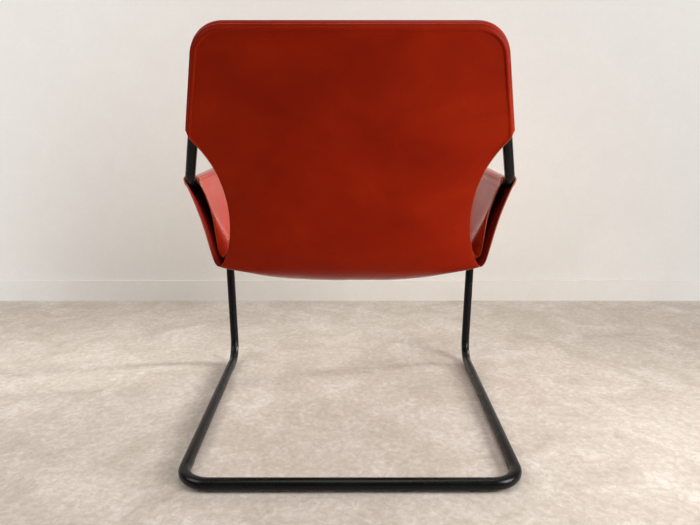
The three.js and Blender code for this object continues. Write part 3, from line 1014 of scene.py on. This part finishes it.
def makePanel(name, panel, node):
    panel.build()
    verts, faces, held = weldQuads(panel.quads)
    hold = held.astype(float)
    rimVerts = sorted({v for edge in boundary(faces) for v in edge})
    hold[rimVerts] = 1
    verts = relax(verts, faces, hold, fineness["smoothing"])
    normals = facing(verts, faces)  # the sheet's own normals face the sitter
    hoop = bothSides(np.array([panel.hoopHold(spot) for spot, _ in panel.rimLine()]))
    arms = bothSides(panel.armLine(panel.armLeave))
    fromHeld = np.minimum(nearest(verts, hoop), nearest(verts, arms))
    fromHeld = np.minimum(nearest(verts, verts[rimVerts]), fromHeld)
    free = eased(fromHeld, wear["rippleFrom"], wear["rippleTo"])
    moved = np.array([rippleAt(v) for v in verts]) * wear["ripple"] * free * (1 - hold)
    sides = [leatherFace, leatherFlesh]
    if panel.isOuter:
        sides = [leatherFlesh, leatherFace]
        fromStitch = nearest(verts, bothSides(panel.rimPoints(stitchAngle())))
        step = eased(fromStitch, wear["ridgeFrom"], wear["ridgeTo"])
        step = step * (1 - eased(fromStitch, wear["ridgeFadeFrom"], wear["ridgeFadeTo"]))
        moved += wear["ridge"] * step * (1 - np.isin(np.arange(len(verts)), rimVerts))
    verts = verts + normals * moved[:, None]
    made = thicken(name, verts, faces, sling["thickness"], [*sides, leatherCut])
    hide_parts(node)
    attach(made, "root")
    return made


outerPanel, innerPanel = Panel(1, cutOuter), Panel(-1, cutInner)
sewTogether(outerPanel, innerPanel)
outerLeather = makePanel("outerLeather", outerPanel, "outer_leather_panel")
innerLeather = makePanel("innerLeather", innerPanel, "inner_leather_panel")
print("leather panels made")


def stitchRow(name, points, normals):
    # one capsule of thread for each stitch, lying along the line
    lengths = lengthsAlong(points)
    count = int(lengths[-1] / (thread["length"] + thread["gap"]))
    sides, profile = thread["sides"], thread["profile"]
    verts, faces = [], []
    for i in range(count):
        middle = (i + 0.5) * lengths[-1] / count
        start = spotsAlong(middle - thread["length"] / 2, lengths, points)
        end = spotsAlong(middle + thread["length"] / 2, lengths, points)
        normal = unit(spotsAlong(middle, lengths, normals))
        along = unit(end - start)
        across = np.cross(along, normal)
        base = len(verts)
        for share, width in profile:
            lift = thread["crown"] - thread["dip"] * (2 * share) ** 4
            centre = (start + end) / 2 + along * share * thread["length"]
            centre = centre + normal * thread["radius"] * lift
            radius = thread["radius"] * width
            for k in range(sides):
                angle = 2 * math.pi * k / sides
                sideStep = across * radius * math.cos(angle) * thread["flattening"]
                verts.append(centre + sideStep + normal * radius * math.sin(angle))
        for ring in range(len(profile) - 1):
            here, beyond = base + ring * sides, base + (ring + 1) * sides
            for k in range(sides):
                j = (k + 1) % sides
                faces.append((here + k, here + j, beyond + j, beyond + k))
        faces.append(tuple(base + k for k in reversed(range(sides))))
        faces.append(tuple(base + (len(profile) - 1) * sides + k for k in range(sides)))
    made = meshObject(name, verts, faces, [waxedThread])
    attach(made, "root")
    return made


probe = 0.001  # how far under the leather a second line runs, to find the way out of it


def rimStitches():
    surface = outerPanel.hoopRadius + sling["thickness"] / 2 - wear["groove"]
    half = outerPanel.rimPoints(stitchAngle(), surface)
    base = outerPanel.rimPoints(stitchAngle(), surface - probe)
    points = np.concatenate([mirrored(half)[::-1], half[1:]])
    under = np.concatenate([mirrored(base)[::-1], base[1:]])
    return stitchRow("rimStitches", points, points - under)


def armStitches(name, flip):
    surface = innerPanel.armRadius + sling["thickness"] / 2
    angle = innerPanel.armEnd() + thread["inset"] / surface
    points, under = innerPanel.armLine(angle, surface), innerPanel.armLine(angle, surface - probe)
    if flip:
        points, under = mirrored(points), mirrored(under)
    return stitchRow(name, points, points - under)


rimThread = rimStitches()
leftThread = armStitches("leftArmStitches", False)
rightThread = armStitches("rightArmStitches", True)
print("stitches laid")

for glide in ("front_left_glide", "front_right_glide", "rear_left_glide", "rear_right_glide"):
    dress(glide, blackNylon)
print("glides dressed")

# The stage: a pale floor, and a pale wall with its skirting which shows from its front only
stage = {
    "floor": ((0.43, 0.370, 0.310), (0.58, 0.513, 0.446), (0.72, 0.667, 0.612)),
    "wall": ((0.78, 0.745, 0.705), (0.80, 0.765, 0.725), (0.82, 0.785, 0.745)),
    "broadMottling": 7.0,
    "fineMottling": 75.0,
    "toneEnds": (0.34, 0.5, 0.62),
    "roughness": 0.7,
    "specular": 0.25,
    "wallY": -0.963,
    "half": 9.0,
    "fadeFrom": 1.15,  # far from the chair, beyond the lamps, the camera sees the plain pale colour
    "fadeTo": 2.1,
    "fadeStrength": 1.03,
    "wallHeight": 4.0,
    "skirtingHeight": 0.085,
    "skirtingDepth": 0.012,
}


def mixShaders(tree, factor, first, second):
    node = addNode(tree, "ShaderNodeMixShader")
    tree.links.new(factor, node.inputs["Fac"])
    tree.links.new(first, node.inputs[1])
    tree.links.new(second, node.inputs[2])
    return node.outputs["Shader"]


def makeStageMaterial(name, tones, oneSided):
    material, tree, shader = newMaterial(name)
    where = objectSpace(tree)
    broad = mathNode(tree, "MULTIPLY", noiseNode(tree, where, stage["broadMottling"], 8.0, 0.72, 0.8), 0.5)
    fine = mathNode(tree, "MULTIPLY", noiseNode(tree, where, stage["fineMottling"], 6.0, 0.75, 0.6), 0.5)
    colour = ramp(tree, mathNode(tree, "ADD", broad, fine), list(zip(stage["toneEnds"], tones)))
    tree.links.new(colour, shader.inputs["Base Color"])
    shader.inputs["Roughness"].default_value = stage["roughness"]
    shader.inputs["Specular IOR Level"].default_value = stage["specular"]
    reach = addNode(tree, "ShaderNodeVectorMath", operation="LENGTH")
    tree.links.new(where, reach.inputs[0])
    far = addNode(tree, "ShaderNodeMapRange", interpolation_type="SMOOTHSTEP")
    tree.links.new(reach.outputs["Value"], far.inputs["Value"])
    far.inputs["From Min"].default_value = stage["fadeFrom"]
    far.inputs["From Max"].default_value = stage["fadeTo"]
    seen = addNode(tree, "ShaderNodeLightPath").outputs["Is Camera Ray"]
    glow = addNode(tree, "ShaderNodeEmission")
    tree.links.new(colour, glow.inputs["Color"])
    glow.inputs["Strength"].default_value = stage["fadeStrength"]
    faded = mathNode(tree, "MULTIPLY", far.outputs["Result"], seen)
    shown = mixShaders(tree, faded, shader.outputs["BSDF"], glow.outputs["Emission"])
    if oneSided:
        behind = addNode(tree, "ShaderNodeNewGeometry").outputs["Backfacing"]
        clear = addNode(tree, "ShaderNodeBsdfTransparent")
        shown = mixShaders(tree, behind, shown, clear.outputs["BSDF"])
    tree.links.new(shown, tree.nodes["Material Output"].inputs["Surface"])
    return material


def makeStage():
    half, wallY = stage["half"], stage["wallY"]
    corners = [(-half, -half, 0), (half, -half, 0), (half, half, 0), (-half, half, 0)]
    floorMaterial = makeStageMaterial("floorMaterial", stage["floor"], False)
    floor = meshObject("floor", corners, [(0, 1, 2, 3)], [floorMaterial])
    front, height = wallY + stage["skirtingDepth"], stage["skirtingHeight"]
    outline = [(wallY, stage["wallHeight"]), (wallY, height), (front, height), (front, 0)]
    verts = [(x, y, z) for y, z in outline for x in (-half, half)]
    faces = [(2 * i, 2 * i + 1, 2 * i + 3, 2 * i + 2) for i in range(len(outline) - 1)]
    wall = meshObject("wall", verts, faces, [makeStageMaterial("wallMaterial", stage["wall"], True)])
    wall.data.polygons.foreach_set("use_smooth", [False] * len(faces))


makeStage()


lampColour = (1.0, 0.99, 0.975)
lamps = {
    "windowLight": {"at": (-1.3, 0.75, 0.85), "to": (0.1, 0.0, 0.6), "size": (0.6, 0.8), "power": 25.0},
    "ceilingLight": {"at": (-0.2, 0.45, 3.0), "to": (-0.1, 0.4, 0.3), "size": (3.0, 1.4), "power": 35.0},
    "wallLight": {"at": (2.3, 0.8, 2.1), "to": (1.0, -1.1, 0.6), "size": (1.6, 1.4), "power": 40.0},
    "sideLight": {"at": (-1.9, -0.75, 1.0), "to": (0.35, -0.2, 0.5), "size": (0.25, 0.7), "power": 5.0,
                  "spread": 36},
    "sleeveLight": {"at": (0.9, 1.8, 0.9), "to": (-0.36, 0.06, 0.42), "size": (0.3, 0.3), "power": 0.08,
                    "spread": 12},
}


def areaLight(name, at, to, size, power, spread=180):
    data = bpy.data.lights.new(name, "AREA")
    data.shape = "RECTANGLE"
    data.size, data.size_y = size
    data.spread = math.radians(spread)
    data.energy = power
    data.color = lampColour
    made = bpy.data.objects.new(name, data)
    made.location = at
    made.rotation_euler = (Vector(to) - Vector(at)).to_track_quat("-Z", "Y").to_euler()
    bpy.context.scene.collection.objects.link(made)


for name, lamp in lamps.items():
    areaLight(name, **lamp)

# Beyond the stage the camera sees a pale backdrop, glossy surfaces a little of it, and all else a dim room
room = {
    "ambient": (0.80, 0.775, 0.74, 1),
    "ambientStrength": 0.03,
    "backdrop": (0.80, 0.765, 0.725, 1),
    "glossyShare": 0.12,
}


def makeWorld():
    world = bpy.data.worlds.new("studio")
    bpy.context.scene.world = world
    world.use_nodes = True
    tree = world.node_tree
    ambient = tree.nodes["Background"]
    ambient.inputs["Color"].default_value = room["ambient"]
    ambient.inputs["Strength"].default_value = room["ambientStrength"]
    backdrop = addNode(tree, "ShaderNodeBackground")
    backdrop.inputs["Color"].default_value = room["backdrop"]
    rays = addNode(tree, "ShaderNodeLightPath").outputs
    glossy = mathNode(tree, "MULTIPLY", rays["Is Glossy Ray"], room["glossyShare"])
    pale = mathNode(tree, "ADD", rays["Is Camera Ray"], glossy)
    seen = mixShaders(tree, pale, ambient.outputs["Background"], backdrop.outputs["Background"])
    tree.links.new(seen, tree.nodes["World Output"].inputs["Surface"])


makeWorld()

view = {"at": (0.0, 1.1608, 0.5725), "downward": 11.0, "lens": 27.05, "sensor": 36.0}
cameraData = bpy.data.cameras.new("camera")
cameraData.lens = view["lens"]
cameraData.sensor_width = view["sensor"]
camera = bpy.data.objects.new("camera", cameraData)
camera.location = view["at"]
camera.rotation_euler = (math.radians(90 - view["downward"]), 0.0, math.radians(180))
bpy.context.scene.collection.objects.link(camera)
bpy.context.scene.camera = camera
bpy.context.scene.view_settings.view_transform = "Standard"
print("stage, lights and camera set")

bpy.context.view_layer.update()
